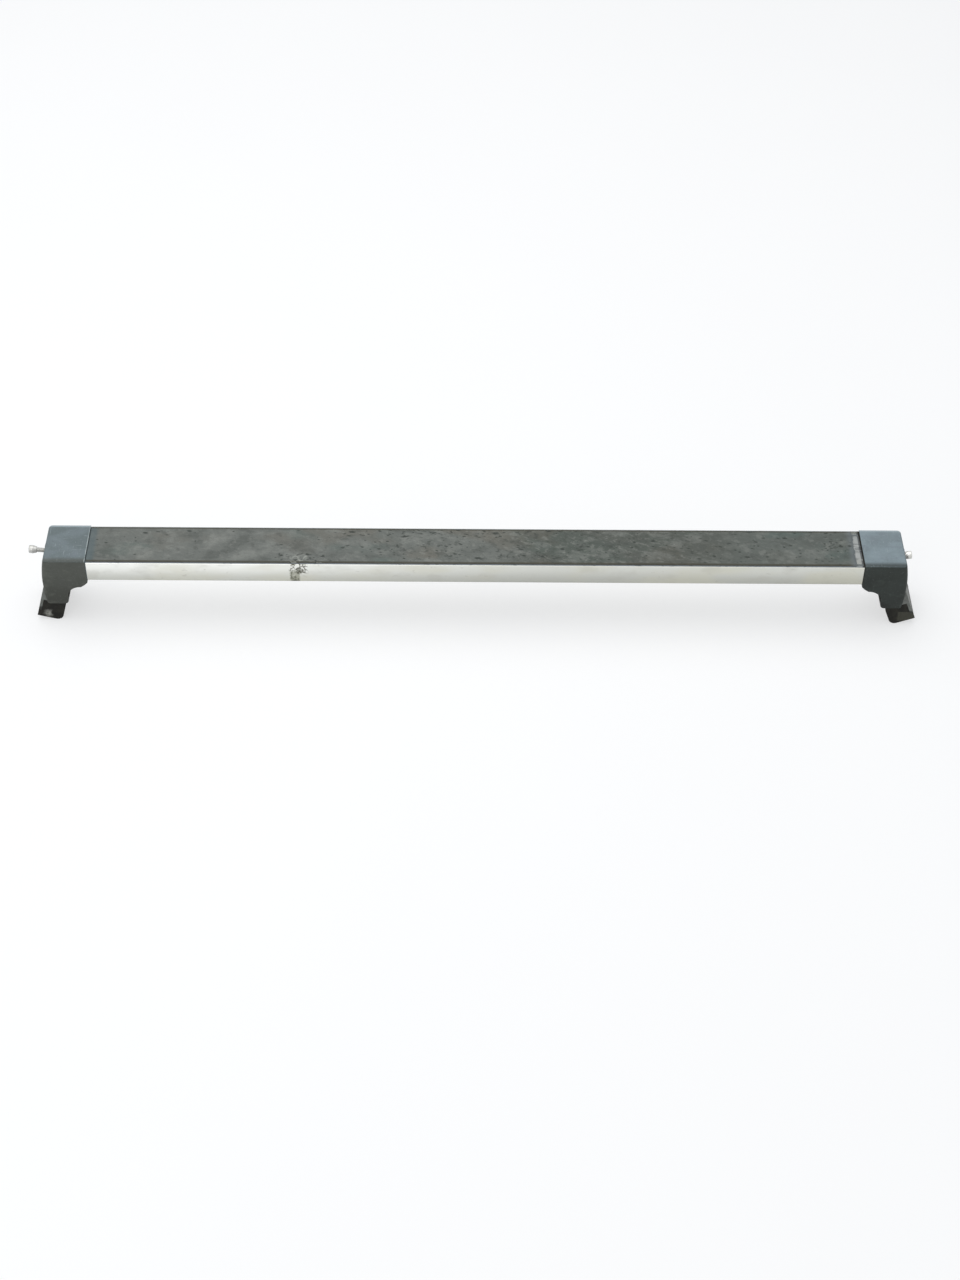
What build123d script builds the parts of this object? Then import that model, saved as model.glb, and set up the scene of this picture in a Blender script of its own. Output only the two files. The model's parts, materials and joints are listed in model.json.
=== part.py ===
from build123d import *
from math import atan2, cos, degrees, radians, sin
import os

# A roof rack crossbar for raised rails: an aluminium bar with a rubber tread and a clamp foot
# at each end. Millimetres. X runs along the bar, Y to the rear, Z up. The origin is the middle
# of the tread's top face. A foot's drawing plane has x outwards along the bar and y up.

# Whole bar
span = 1080.0  # over both feet at the height of the clamp screws
foot_length = 54.0
bar_width = 70.0
bar_height = 31.0

# Bar section
bar_wall = 2.5
web_thickness = 2.0
core_width = 40.0  # inside width of the middle chamber, which takes the foot's spigot
bar_top_radius = 2.0
bar_bottom_radius = 5.0
chamber_radius = 0.8
key_inset = 4.5  # of the two grooves that hold the tread, from its edges
key_neck_width = 3.0
key_neck_depth = 1.5
key_bulb_width = 5.0
key_bulb_depth = 2.0
key_rail_wall = 2.0

# Tread
tread_rim = 2.5  # of bar left beside the tread
tread_thickness = 3.0
tread_recess = 2.0
tread_side_gap = 0.25
tread_edge_radius = 0.8
tread_key_gap = 0.2
tread_left_gap = 0.3
tread_bare_length = 10.0  # bar left bare where the torn end of the tread stops short

# Foot housing
foot_rise = 1.0  # of the foot's top above the tread
foot_wall = 2.5
end_top_setback = 1.5
end_bulge = 3.0
end_bulge_drop = 35.0
end_toe_reach = 1.0
leg_drop = 70.0
foot_top_edge_radius = 2.5
foot_end_edge_radius = 5.0
leg_toe_radius = 5.0
lip_drop = 38.5
lip_radius = 4.0
hollow_angle = 93.0  # how far the rail's hollow goes round, from level with the leg
flap_opening_drop = 37.5
gasket_thickness = 1.0
gasket_inset = 0.3
rib_thickness = 2.0
rib_inset = 10.0
rib_depth = 22.0
rib_end_gap = 6.0

# Rail and its rubber saddle
rail_radius = 16.0
rail_inset = 44.0
rail_drop = 59.0
saddle_proud = 1.0
saddle_thickness = 3.0
saddle_back_gap = 0.1
saddle_end_cover = 4.5
saddle_start_angle = -10.0
saddle_end_angle = 103.0
saddle_backing = 2.0

# Clamp arm, drawn about its pivot with the arm upright
pivot_inset = 15.0
pivot_drop = 48.5
hub_radius = 8.0
eye_back = 7.5
eye_rise = 37.0
eye_radius = 7.0
core_thickness = 24.0  # of the lever, along the pivot pin
fork_gap = 8.0
fork_depth = 9.0
flap_reach = 18.0
flap_thickness = 3.6
flap_side_gap = 1.5
skirt_angle = 45.0
skirt_thickness = 2.8
jaw_top_drop = 24.0
jaw_bottom_drop = 52.5
jaw_face_reach = 14.0
jaw_nose_radius = 8.0
toe_back = 1.0
web_back = 3.0
gusset_back = 5.0
gusset_thickness = 3.0
toe_top_drop = 38.0
toe_heel_radius = 3.5
pad_inset = 0.5
pad_seat_gap = 0.1
boot_wall = 3.0  # of the pad where it wraps the ends of the toe
boot_top_drop = 42.0
closed_angle = -14.0
open_angles = {"left": 15.5, "right": 21.5}

# Bracket inside the foot
cheek_thickness = 5.0
arm_side_play = 0.6
cheek_neck_inset = 12.0
end_plate_thickness = 3.0
end_plate_drop = 24.0
end_plate_setback = 3.0
bracket_gap = 0.3
saddle_clearance = 0.3
spigot_gap = 0.3
spigot_length = 60.0
spigot_wall = 5.0
spigot_floor = 5.0
spigot_relief = 10.0  # open floor beside the foot, where the clamp screw's tip can run
tie_length = 11.0
tie_drop = 33.5
tie_thickness = 5.0

# Pins, nuts and screws
pin_radius = 4.0
pin_play = 0.05
pin_head_radius = 6.5
pin_head_height = 2.5
pin_tail = 2.4
clip_thickness = 1.0
clip_gap = 0.3
clip_radius = 6.5
clip_root_radius = 3.4
clip_mouth = 5.0
nut_radius = 5.0
nut_length = 22.0
screw_radius = 3.0
screw_length = 54.0
screw_play = 0.05
screw_drop = 11.5
screw_seat_setback = 0.3
screw_seat_radius = 7.0
screw_slot_width = 6.9
screw_slot_height = 9.8
screw_boss_radius = 9.0
head_radius = 5.0
head_height = 5.2
head_edge = 1.2
socket_width = 5.0
socket_depth = 3.0
tip_chamfer = 0.8
collar_length = 4.5
collar_nose_radius = 3.9
collar_base_radius = 5.1
collar_bore_play = 0.3
seat_gaps = {"left": 11.4, "right": 0.6}  # between each collar and its seat
fixing_radius = 3.0
fixing_length = 9.0
fixing_spacing = 24.0
fixing_inset = 22.0  # of the first fixing screw from the seam
fixing_head_radius = 5.5
fixing_head_height = 3.2
tapping_radius = 2.0
tapping_length = 8.0
tapping_spacing = 12.0
tapping_head_radius = 3.75
tapping_head_height = 2.4
tapping_play = 0.4
tapping_inset = 9.0  # from the seam
tapping_sink = 0.5
tapping_boss_radius = 5.0
fixing_socket = 4.0
fixing_socket_depth = 1.8

# Places that follow from the sizes
tread_width = bar_width - 2 * tread_rim
key_spacing = tread_width - 2 * key_inset
rib_spacing = bar_width - 2 * rib_inset
saddle_width = bar_width - 2 * saddle_end_cover
sides = {"left": -1, "right": 1}
foot_end = span / 2
seam_x = foot_end - foot_length
bar_end_x = seam_x - gasket_thickness
bar_top = tread_recess - tread_thickness
bar_bottom = bar_top - bar_height
chamber_top = bar_top - tread_recess - bar_wall
chamber_bottom = bar_bottom + bar_wall
chamber_height = chamber_top - chamber_bottom
side_chamber_inner = core_width / 2 + web_thickness
side_chamber_width = bar_width / 2 - bar_wall - side_chamber_inner
foot_half = bar_width / 2
cavity_half = foot_half - foot_wall
flap_width = 2 * (cavity_half - flap_side_gap)
saddle_radius = rail_radius + saddle_proud
pad_back_radius = rail_radius + saddle_thickness
rail_x = foot_end - rail_inset
leg_inner_x = rail_x + saddle_radius
pivot_x = foot_end - pivot_inset
cheek_inner = core_thickness / 2 + arm_side_play
cheek_outer = cheek_inner + cheek_thickness
spigot_half = core_width / 2 - spigot_gap
spigot_top = chamber_top - spigot_gap
spigot_bottom = chamber_bottom + spigot_gap
seat_x = foot_end - screw_seat_setback
plate_x = foot_end - end_plate_setback
bracket_x = seam_x + foot_wall + bracket_gap
flap_inner = flap_reach - flap_thickness
tie_bottom = -tie_drop
tapping_x = seam_x + tapping_inset
tapping_z = -rail_drop + pad_back_radius + tapping_sink
tapping_seat_z = tapping_z + tapping_head_height
fixing_x = seam_x - fixing_inset - fixing_spacing / 2
closed = radians(closed_angle)
rail_from_pivot_x = rail_x - pivot_x
rail_from_pivot_z = pivot_drop - rail_drop
grip_x = rail_from_pivot_x * cos(closed) + rail_from_pivot_z * sin(closed)
grip_z = rail_from_pivot_z * cos(closed) - rail_from_pivot_x * sin(closed)


def foot_plane(side):
    """The middle plane of a foot: x outwards, y up."""
    return Plane(origin=(0, 0, 0), x_dir=(side, 0, 0), z_dir=(0, -side, 0))


def tilted_plane(side, x, z, angle):
    """The same plane with its origin at x, z and its x axis raised by an angle in degrees."""
    direction = (side * cos(radians(angle)), 0, sin(radians(angle)))
    return Plane(origin=(side * x, 0, z), x_dir=direction, z_dir=(0, -side, 0))


def eye_place(angle):
    """Where the arm's upper eye is when the arm stands at an angle."""
    turn = radians(angle)
    x = pivot_x - eye_back * cos(turn) - eye_rise * sin(turn)
    z = -pivot_drop - eye_back * sin(turn) + eye_rise * cos(turn)
    return x, z


def screw_tilt(name):
    """The rise of a clamp screw's axis, from the barrel nut to its seat in the foot."""
    eye_x, eye_z = eye_place(open_angles[name])
    return degrees(atan2(-screw_drop - eye_z, seat_x - eye_x))


def polar(x, y, radius, angle):
    """The point at a radius and an angle in degrees from a centre."""
    return x + radius * cos(radians(angle)), y + radius * sin(radians(angle))


def save(solid, name):
    solid.label = name
    export_step(solid, f"parts/{name}.step")
    return solid


# The bar: an aluminium extrusion of three chambers, with two grooves for the tread's keys
def make_bar():
    with BuildPart() as bar:
        with BuildSketch(Plane.YZ) as section:
            with Locations((0, (bar_top + bar_bottom) / 2)):
                Rectangle(bar_width, bar_height)
            fillet(section.vertices().group_by(Axis.Y)[-1], bar_top_radius)
            fillet(section.vertices().group_by(Axis.Y)[0], bar_bottom_radius)
            with Locations((0, (chamber_top + chamber_bottom) / 2)):
                RectangleRounded(core_width, chamber_height, chamber_radius, mode=Mode.SUBTRACT)
            with GridLocations(2 * side_chamber_inner + side_chamber_width, 0, 2, 1):
                with Locations((0, (chamber_top + chamber_bottom) / 2)):
                    RectangleRounded(
                        side_chamber_width, chamber_height, chamber_radius, mode=Mode.SUBTRACT
                    )
            with Locations((0, bar_top)):
                Rectangle(tread_width + 2 * tread_side_gap, 2 * tread_recess, mode=Mode.SUBTRACT)
            key_depth = key_neck_depth + key_bulb_depth
            rail_depth = key_depth + key_rail_wall
            floor = bar_top - tread_recess
            with GridLocations(key_spacing, 0, 2, 1):
                with Locations((0, floor - rail_depth / 2)):
                    Rectangle(key_bulb_width + 2 * key_rail_wall, rail_depth)
                with Locations((0, floor - key_depth / 2)):
                    Rectangle(key_neck_width, key_depth, mode=Mode.SUBTRACT)
                with Locations((0, floor - key_depth + key_bulb_depth / 2)):
                    Rectangle(key_bulb_width, key_bulb_depth, mode=Mode.SUBTRACT)
        extrude(amount=bar_end_x, both=True)
        with BuildSketch(Plane.XY.offset(bar_bottom)):
            for side in sides.values():
                with Locations((side * fixing_x, 0)):
                    with GridLocations(fixing_spacing, 0, 2, 1):
                        Circle(fixing_radius + tapping_play)
        extrude(amount=2 * bar_wall, mode=Mode.SUBTRACT)
    return bar.part


# The tread: a rubber strip pressed into the bar, torn off short at its right end
def make_tread():
    left_x = -seam_x + gasket_thickness + tread_left_gap
    right_x = seam_x - tread_bare_length
    torn = (-1.6, 0.9, -0.7, 1.5, 0.2, -1.9, -0.4, 1.2)
    with BuildPart() as tread:
        with BuildSketch(Plane.YZ) as section:
            with Locations((0, -tread_thickness / 2)):
                Rectangle(tread_width, tread_thickness)
            fillet(section.vertices().group_by(Axis.Y)[-1], tread_edge_radius)
            neck = key_neck_depth + tread_key_gap
            bulb = key_bulb_depth - 2 * tread_key_gap
            with GridLocations(key_spacing, 0, 2, 1):
                with Locations((0, -tread_thickness - neck / 2)):
                    Rectangle(key_neck_width - 2 * tread_key_gap, neck)
                with Locations((0, -tread_thickness - neck - bulb / 2)):
                    Rectangle(key_bulb_width - 2 * tread_key_gap, bulb)
        extrude(amount=bar_end_x, both=True)
        with BuildSketch(Plane.XY.offset(-tread_thickness - bar_height / 2)):
            step = tread_width / (len(torn) - 1)
            edge = [(right_x + d, -tread_width / 2 + i * step) for i, d in enumerate(torn)]
            beyond = seam_x
            with BuildLine():
                Polyline(
                    (beyond, -bar_width),
                    (edge[0][0], -bar_width),
                    *edge,
                    (edge[-1][0], bar_width),
                    (beyond, bar_width),
                    close=True,
                )
            make_face()
            with Locations((left_x - bar_width / 2, 0)):
                Rectangle(bar_width, 2 * bar_width)
        extrude(amount=bar_height, mode=Mode.SUBTRACT)
    return tread.part


# The side view of a foot: a bowed end, a leg, the rail's hollow and a lip under the bar
with BuildSketch() as foot_outline:
    with BuildLine():
        foot_top = Line((seam_x, foot_rise), (foot_end - end_top_setback, foot_rise))
        bow = ThreePointArc(
            foot_top @ 1,
            (foot_end + end_bulge, -end_bulge_drop),
            (foot_end + end_toe_reach, -leg_drop),
        )
        sole = Line(bow @ 1, (leg_inner_x, -leg_drop))
        leg = Line(sole @ 1, (leg_inner_x, -rail_drop))
        hollow = CenterArc((rail_x, -rail_drop), saddle_radius, 0, hollow_angle)
        lip = Polyline(
            hollow @ 1,
            (seam_x + lip_radius, -lip_drop),
            (seam_x, -lip_drop + lip_radius),
            foot_top @ 0,
        )
    make_face()
    fillet(foot_outline.vertices().sort_by(Axis.Y)[:2].sort_by(Axis.X)[0], leg_toe_radius)

# The room inside a foot: open below the leg, and at its end below the upper part of the bow
with BuildSketch() as foot_cavity:
    add(foot_outline.sketch)
    offset(amount=-foot_wall, kind=Kind.INTERSECTION)
    with Locations((leg_inner_x + foot_wall, -leg_drop - foot_wall)):
        Rectangle(
            rail_inset - saddle_radius + end_bulge,
            leg_drop + foot_wall - flap_opening_drop,
            align=(Align.MIN, Align.MIN),
        )
    with Locations((rail_x, -rail_drop)):
        Circle(pad_back_radius + saddle_backing, mode=Mode.SUBTRACT)

# The seat for the rubber saddle, and the saddle itself: ring sectors about the rail
with BuildSketch() as saddle_seat:
    with BuildLine():
        seat_start = saddle_start_angle - 1
        seat_sweep = saddle_end_angle - saddle_start_angle + 2
        near = CenterArc((rail_x, -rail_drop), saddle_radius - foot_wall, seat_start, seat_sweep)
        far = CenterArc((rail_x, -rail_drop), pad_back_radius + saddle_back_gap, seat_start, seat_sweep)
        Line(near @ 0, far @ 0)
        Line(near @ 1, far @ 1)
    make_face()

with BuildSketch() as saddle_outline:
    with BuildLine():
        saddle_sweep = saddle_end_angle - saddle_start_angle
        near = CenterArc((rail_x, -rail_drop), rail_radius, saddle_start_angle, saddle_sweep)
        far = CenterArc((rail_x, -rail_drop), pad_back_radius, saddle_start_angle, saddle_sweep)
        Line(near @ 0, far @ 0)
        Line(near @ 1, far @ 1)
    make_face()


# A foot's housing: one plastic moulding, open below and at its end for the clamp arm
def make_housing(side):
    plane = foot_plane(side)
    outer_plane = Plane(
        origin=(side * (foot_end + end_bulge), 0, -screw_drop), x_dir=(0, 1, 0), z_dir=(side, 0, 0)
    )
    with BuildPart() as housing:
        with BuildSketch(plane):
            add(foot_outline.sketch)
        extrude(amount=foot_half, both=True)
        bow_edges = housing.edges().filter_by(GeomType.CIRCLE)
        fillet(bow_edges.filter_by(lambda edge: edge.radius > foot_length), foot_end_edge_radius)
        top_edges = housing.faces().sort_by(Axis.Z)[-1].edges()
        fillet(
            top_edges.filter_by(lambda edge: abs(edge.center().X) > seam_x + foot_wall),
            foot_top_edge_radius,
        )
        with BuildSketch(plane):
            add(foot_cavity.sketch)
        extrude(amount=cavity_half, both=True, mode=Mode.SUBTRACT)
        with BuildSketch(Plane.YZ.offset(side * seam_x)):
            with Locations((0, (chamber_top + chamber_bottom) / 2)):
                RectangleRounded(core_width, chamber_height, chamber_radius)
        extrude(amount=side * 2 * foot_wall, mode=Mode.SUBTRACT)
        with BuildSketch(plane):
            add(saddle_seat.sketch)
        extrude(amount=saddle_width / 2 + saddle_back_gap, both=True, mode=Mode.SUBTRACT)
        with BuildSketch(outer_plane.offset(plate_x - foot_end - end_bulge)):
            Circle(screw_boss_radius)
        extrude(amount=foot_end - plate_x - screw_seat_setback)
        with BuildSketch(outer_plane):
            Circle(screw_seat_radius)
        extrude(amount=-end_bulge - screw_seat_setback, mode=Mode.SUBTRACT)
        with BuildSketch(outer_plane):
            SlotOverall(screw_slot_height, screw_slot_width, rotation=90)
        extrude(amount=-2 * (end_bulge + foot_wall), mode=Mode.SUBTRACT)
        with BuildSketch(Plane.XY.offset(tie_bottom)):
            with Locations((side * tapping_x, 0)):
                with GridLocations(0, tapping_spacing, 1, 2):
                    Circle(tapping_boss_radius)
        extrude(amount=-lip_drop - tie_bottom)
        with BuildSketch(Plane.XY.offset(tapping_seat_z)):
            with Locations((side * tapping_x, 0)):
                with GridLocations(0, tapping_spacing, 1, 2):
                    Circle(tapping_head_radius + tapping_play)
        extrude(amount=-2 * lip_radius, mode=Mode.SUBTRACT)
        with BuildSketch(Plane.XY.offset(tie_bottom)):
            with Locations((side * tapping_x, 0)):
                with GridLocations(0, tapping_spacing, 1, 2):
                    Circle(tapping_radius + screw_play)
        extrude(amount=tapping_seat_z - tie_bottom, mode=Mode.SUBTRACT)
        rib_length = foot_length - foot_wall - 2 * rib_end_gap
        rib_x = seam_x + foot_wall + rib_end_gap + rib_length / 2
        ceiling = foot_rise - foot_wall
        hanging = (Align.CENTER, Align.CENTER, Align.MAX)
        with Locations((side * rib_x, 0, ceiling)):
            with GridLocations(0, rib_spacing, 1, 2):
                Box(rib_length, rib_thickness, rib_depth, align=hanging)
            with GridLocations(0, cheek_inner + cheek_outer, 1, 2):
                Box(rib_length, rib_thickness, ceiling - spigot_top, align=hanging)
    return housing.part


# The bracket: a die casting with two cheeks for the arm and a spigot that slides into the bar
with BuildSketch() as cheek_outline:
    with BuildLine():
        Polyline(
            (seam_x, spigot_bottom),
            (seam_x, spigot_top),
            (plate_x, spigot_top),
            (plate_x, -end_plate_drop),
            (foot_end - cheek_neck_inset, -end_plate_drop - hub_radius),
            (foot_end - cheek_neck_inset, -pivot_drop),
            (pivot_x - hub_radius, -pivot_drop),
            (bracket_x, tie_bottom),
            (bracket_x, spigot_bottom),
            close=True,
        )
    make_face()
    with Locations((pivot_x, -pivot_drop)):
        Circle(hub_radius)
    with Locations((rail_x, -rail_drop)):
        Circle(pad_back_radius + saddle_backing + saddle_clearance, mode=Mode.SUBTRACT)
    with Locations((pivot_x, -pivot_drop)):
        Circle(pin_radius + pin_play, mode=Mode.SUBTRACT)


def make_bracket(side):
    plane = foot_plane(side)
    outer_plane = Plane(
        origin=(side * foot_end, 0, -screw_drop), x_dir=(0, 1, 0), z_dir=(side, 0, 0)
    )
    spigot_height = spigot_top - spigot_bottom
    with BuildPart() as bracket:
        with BuildSketch(plane):
            add(cheek_outline.sketch)
        extrude(amount=cheek_outer, both=True)
        with BuildSketch(plane):
            with Locations((seam_x, (spigot_top - leg_drop) / 2)):
                Rectangle(
                    plate_x - end_plate_thickness - seam_x,
                    leg_drop,
                    align=(Align.MIN, Align.CENTER),
                )
        extrude(amount=cheek_inner, both=True, mode=Mode.SUBTRACT)
        with BuildSketch(plane):
            with Locations((bracket_x, tie_bottom)):
                Rectangle(tie_length, tie_thickness, align=(Align.MIN, Align.MIN))
        extrude(amount=spigot_half, both=True)
        with BuildSketch(plane):
            with Locations((seam_x + spigot_wall, spigot_bottom)):
                Rectangle(
                    spigot_length + spigot_wall, spigot_height, align=(Align.MAX, Align.MIN)
                )
        extrude(amount=spigot_half, both=True)
        with BuildSketch(plane):
            with Locations((seam_x + 2 * spigot_wall, spigot_bottom + spigot_floor)):
                Rectangle(
                    2 * spigot_length, spigot_height, align=(Align.MAX, Align.MIN)
                )
            with Locations((seam_x + spigot_wall, spigot_bottom)):
                Rectangle(
                    spigot_relief + spigot_wall, 2 * spigot_floor, align=(Align.MAX, Align.MIN)
                )
        extrude(amount=spigot_half - spigot_wall, both=True, mode=Mode.SUBTRACT)
        with BuildSketch(outer_plane):
            SlotOverall(screw_slot_height, screw_slot_width, rotation=90)
        extrude(amount=-foot_length / 2, mode=Mode.SUBTRACT)
        with BuildSketch(Plane.XY.offset(spigot_bottom)):
            with Locations((side * fixing_x, 0)):
                with GridLocations(fixing_spacing, 0, 2, 1):
                    Circle(fixing_radius + screw_play)
        extrude(amount=spigot_floor, mode=Mode.SUBTRACT)
        with BuildSketch(Plane.XY.offset(tie_bottom)):
            with Locations((side * tapping_x, 0)):
                with GridLocations(0, tapping_spacing, 1, 2):
                    Circle(tapping_radius + screw_play)
        extrude(amount=tie_thickness, mode=Mode.SUBTRACT)
    return bracket.part


# The gasket that seals the bar's end to the foot
def make_gasket(side):
    with BuildPart() as gasket:
        with BuildSketch(Plane.YZ.offset(side * bar_end_x)) as section:
            with Locations((0, (bar_top + bar_bottom) / 2)):
                Rectangle(bar_width - 2 * gasket_inset, bar_height - 2 * gasket_inset)
            fillet(section.vertices().group_by(Axis.Y)[-1], bar_top_radius)
            fillet(section.vertices().group_by(Axis.Y)[0], bar_bottom_radius)
            with Locations((0, (chamber_top + chamber_bottom) / 2)):
                RectangleRounded(core_width, chamber_height, chamber_radius, mode=Mode.SUBTRACT)
        extrude(amount=side * gasket_thickness)
    return gasket.part


# The rubber saddle that sits on the rail
def make_saddle(side):
    with BuildPart() as saddle:
        with BuildSketch(foot_plane(side)):
            add(saddle_outline.sketch)
        extrude(amount=saddle_width / 2, both=True)
    return saddle.part


# The clamp arm: a casting that is a lever above its pivot and a wide flap with a toe below it.
# The toe is narrower than the flap, to leave room for the pad that wraps its ends.
with BuildSketch() as lever_outline:
    Circle(hub_radius)
    with Locations((-eye_back, eye_rise)):
        Circle(eye_radius)
    make_hull()
    with BuildLine():
        Polyline(
            (-web_back, 0),
            (-web_back, -jaw_top_drop + saddle_clearance),
            (flap_inner + tip_chamfer, -jaw_top_drop + saddle_clearance),
            (flap_inner + tip_chamfer, 0),
            (hub_radius * cos(radians(skirt_angle)), hub_radius * sin(radians(skirt_angle))),
            close=True,
        )
    make_face()
    Circle(pin_radius + pin_play, mode=Mode.SUBTRACT)
    with Locations((-eye_back, eye_rise)):
        Circle(nut_radius + pin_play, mode=Mode.SUBTRACT)

with BuildSketch() as flap_outline:
    with Locations((flap_inner, -boot_top_drop + pad_seat_gap)):
        Rectangle(flap_thickness, boot_top_drop - pad_seat_gap, align=(Align.MIN, Align.MIN))

with BuildSketch() as toe_outline:
    with Locations((toe_back, -jaw_bottom_drop)):
        Rectangle(
            flap_reach - toe_back, jaw_bottom_drop - toe_top_drop, align=(Align.MIN, Align.MIN)
        )
    fillet(toe_outline.vertices().sort_by(Axis.Y)[:2].sort_by(Axis.X)[-1], toe_heel_radius)

with BuildSketch() as skirt_outline:
    with BuildLine():
        near = CenterArc((0, 0), flap_reach - skirt_thickness, 0, skirt_angle)
        far = CenterArc((0, 0), flap_reach, 0, skirt_angle)
        Line(near @ 0, far @ 0)
        Line(near @ 1, far @ 1)
    make_face()

with BuildSketch() as gusset_outline:
    with BuildLine():
        Polyline(
            (gusset_back, -jaw_top_drop + saddle_clearance),
            (flap_inner + tip_chamfer, -jaw_top_drop + saddle_clearance),
            (flap_inner + tip_chamfer, 0),
            polar(0, 0, flap_reach - skirt_thickness / 2, skirt_angle),
            (gusset_back, 0),
            close=True,
        )
    make_face()

# The rubber pad round the arm's toe, hollowed where it meets the rail, and its closed ends
with BuildSketch() as pad_outline:
    with BuildLine():
        Polyline(
            (flap_inner - pad_seat_gap, -jaw_top_drop),
            (-jaw_face_reach, -jaw_top_drop),
            (-jaw_face_reach, -jaw_bottom_drop),
            (toe_back - pad_seat_gap, -jaw_bottom_drop),
            (toe_back - pad_seat_gap, -toe_top_drop + pad_seat_gap),
            (flap_inner - pad_seat_gap, -toe_top_drop + pad_seat_gap),
            close=True,
        )
    make_face()
    fillet(pad_outline.vertices().sort_by(Axis.X)[:2].sort_by(Axis.Y)[0], jaw_nose_radius)
    with Locations((grip_x, grip_z)):
        Circle(rail_radius, mode=Mode.SUBTRACT)

with BuildSketch() as boot_outline:
    with BuildLine():
        Polyline(
            (flap_inner - pad_seat_gap, -jaw_top_drop),
            (-jaw_face_reach, -jaw_top_drop),
            (-jaw_face_reach, -jaw_bottom_drop),
            (flap_reach, -jaw_bottom_drop),
            (flap_reach, -boot_top_drop),
            (flap_inner - pad_seat_gap, -boot_top_drop),
            close=True,
        )
    make_face()
    boot_sole = boot_outline.vertices().sort_by(Axis.Y)[:2].sort_by(Axis.X)
    fillet(boot_sole[0], jaw_nose_radius)
    fillet(boot_sole[-1], toe_heel_radius)
    with Locations((grip_x, grip_z)):
        Circle(rail_radius, mode=Mode.SUBTRACT)


def make_arm(side, angle):
    plane = tilted_plane(side, pivot_x, -pivot_drop, angle)
    with BuildPart() as arm:
        with BuildSketch(plane):
            add(lever_outline.sketch)
        extrude(amount=core_thickness / 2, both=True)
        with BuildSketch(plane):
            add(flap_outline.sketch)
            add(skirt_outline.sketch)
        extrude(amount=flap_width / 2, both=True)
        with BuildSketch(plane):
            add(toe_outline.sketch)
        extrude(amount=flap_width / 2 - boot_wall - pad_seat_gap, both=True)
        gusset_middle = (flap_width - gusset_thickness) / 2
        for shift in (-gusset_middle, gusset_middle):
            with BuildSketch(plane.offset(shift)):
                add(gusset_outline.sketch)
            extrude(amount=gusset_thickness / 2, both=True)
        with BuildSketch(plane):
            with Locations((-eye_back, eye_rise - fork_depth)):
                Rectangle(4 * eye_radius, 4 * eye_radius, align=(Align.CENTER, Align.MIN))
        extrude(amount=fork_gap / 2, both=True, mode=Mode.SUBTRACT)
    return arm.part


def make_pad(side, angle):
    plane = tilted_plane(side, pivot_x, -pivot_drop, angle)
    end_thickness = boot_wall - pad_inset
    end_middle = flap_width / 2 - boot_wall + end_thickness / 2
    with BuildPart() as pad:
        with BuildSketch(plane):
            add(pad_outline.sketch)
        extrude(amount=flap_width / 2 - pad_inset, both=True)
        for shift in (-end_middle, end_middle):
            with BuildSketch(plane.offset(shift)):
                add(boot_outline.sketch)
            extrude(amount=end_thickness / 2, both=True)
    return pad.part


# The pivot pin through the cheeks and the arm, with a head at the front and a clip at the rear
def make_pin(side):
    with BuildPart() as pin:
        with BuildSketch(Plane.XZ.offset(cheek_outer)):
            with Locations((side * pivot_x, -pivot_drop)):
                Circle(pin_head_radius)
        extrude(amount=pin_head_height)
        chamfer(pin.edges().group_by(Axis.Y)[0], pin_head_height / 3)
        with BuildSketch(Plane.XZ.offset(cheek_outer)):
            with Locations((side * pivot_x, -pivot_drop)):
                Circle(pin_radius)
        extrude(amount=-2 * cheek_outer - pin_tail)
        chamfer(pin.edges().group_by(Axis.Y)[-1], tip_chamfer / 2)
        with BuildSketch(Plane.XZ.offset(-cheek_outer - clip_gap + pin_play)):
            with Locations((side * pivot_x, -pivot_drop)):
                Circle(pin_head_radius)
                Circle(clip_root_radius, mode=Mode.SUBTRACT)
        extrude(amount=-clip_thickness - 2 * pin_play, mode=Mode.SUBTRACT)
    return pin.part


def make_clip(side):
    with BuildPart() as clip:
        with BuildSketch(Plane.XZ.offset(-cheek_outer - clip_gap)):
            with Locations((side * pivot_x, -pivot_drop)):
                Circle(clip_radius)
                Circle(clip_root_radius + pin_play, mode=Mode.SUBTRACT)
            with Locations((side * pivot_x, -pivot_drop)):
                Rectangle(
                    clip_mouth, 2 * clip_radius, align=(Align.CENTER, Align.MAX), mode=Mode.SUBTRACT
                )
        extrude(amount=-clip_thickness)
    return clip.part


# The barrel nut in the arm's fork, threaded across for the clamp screw
def make_nut(name):
    side = sides[name]
    eye_x, eye_z = eye_place(open_angles[name])
    plane = tilted_plane(side, eye_x, eye_z, screw_tilt(name))
    with BuildPart() as nut:
        with BuildSketch(plane):
            Circle(nut_radius)
        extrude(amount=nut_length / 2, both=True)
        chamfer(nut.edges().filter_by(GeomType.CIRCLE), tip_chamfer / 2)
        with BuildSketch(Plane(origin=plane.origin, z_dir=plane.x_dir)):
            Circle(screw_radius + screw_play)
        extrude(amount=2 * nut_radius, both=True, mode=Mode.SUBTRACT)
    return nut.part


# The clamp screw and the conical collar under its head, both on the screw's own axis
def seat_plane(name):
    return tilted_plane(sides[name], seat_x, -screw_drop, screw_tilt(name))


def make_screw(name):
    plane = seat_plane(name)
    neck = seat_gaps[name] + collar_length
    tip = neck - screw_length
    top = neck + head_height
    with BuildPart() as screw:
        with BuildSketch(plane):
            with BuildLine():
                Polyline(
                    (tip, 0),
                    (tip, screw_radius - tip_chamfer),
                    (tip + tip_chamfer, screw_radius),
                    (neck, screw_radius),
                    (neck, head_radius),
                    (top - head_edge, head_radius),
                    (top, head_radius - head_edge),
                    (top, 0),
                    close=True,
                )
            make_face()
        revolve(axis=Axis(plane.origin, plane.x_dir))
        end = plane.origin + plane.x_dir * top
        with BuildSketch(Plane(origin=end, x_dir=(0, 1, 0), z_dir=plane.x_dir)):
            RegularPolygon(socket_width / 2, 6, major_radius=False)
        extrude(amount=-socket_depth, mode=Mode.SUBTRACT)
    return screw.part


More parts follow.
